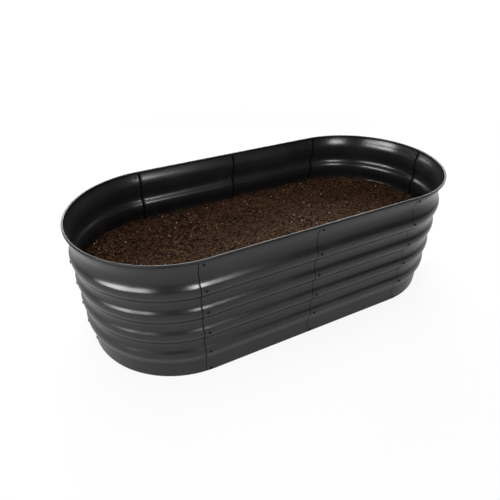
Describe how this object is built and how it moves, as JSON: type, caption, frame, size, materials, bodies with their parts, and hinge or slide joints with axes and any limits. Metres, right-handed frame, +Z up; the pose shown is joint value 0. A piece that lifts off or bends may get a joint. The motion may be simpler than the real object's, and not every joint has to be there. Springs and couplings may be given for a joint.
{
  "type": "raised garden bed",
  "caption": "Oval raised garden bed of ribbed, bolted sheet-steel panels with an edging strip round the open top, filled with soil to part height.",
  "frame": {"origin": "on the ground under the middle of the bed", "axes": "+X along the bed's length, +Y across it, +Z up"},
  "size_m": [1.3624, 0.6344, 0.427],
  "materials": {
    "wall_paint": "satin charcoal powder coat on zinc-coated steel",
    "edging": "smooth dark extrusion",
    "bolt_heads": "black finished screw heads",
    "zinc_nuts": "dull zinc plating",
    "zinc_tie": "dull zinc plating",
    "soil": "loose dark compost with white specks"
  },
  "bodies": {
    "root": {"back_left_bolts": "bolt_heads", "back_left_corner_panel": "wall_paint", "back_left_nuts": "zinc_nuts", "back_left_side_panel": "wall_paint", "back_middle_bolts": "bolt_heads", "back_middle_nuts": "zinc_nuts", "back_right_bolts": "bolt_heads", "back_right_corner_panel": "wall_paint", "back_right_nuts": "zinc_nuts", "back_right_side_panel": "wall_paint", "cross_tie": "zinc_tie", "front_left_bolts": "bolt_heads", "front_left_corner_panel": "wall_paint", "front_left_nuts": "zinc_nuts", "front_left_side_panel": "wall_paint", "front_middle_bolts": "bolt_heads", "front_middle_nuts": "zinc_nuts", "front_right_bolts": "bolt_heads", "front_right_corner_panel": "wall_paint", "front_right_nuts": "zinc_nuts", "front_right_side_panel": "wall_paint", "left_end_bolts": "bolt_heads", "left_end_nuts": "zinc_nuts", "right_end_bolts": "bolt_heads", "right_end_nuts": "zinc_nuts", "rim_edging": "edging", "soil_fill": "soil"}
  },
  "joints": []
}
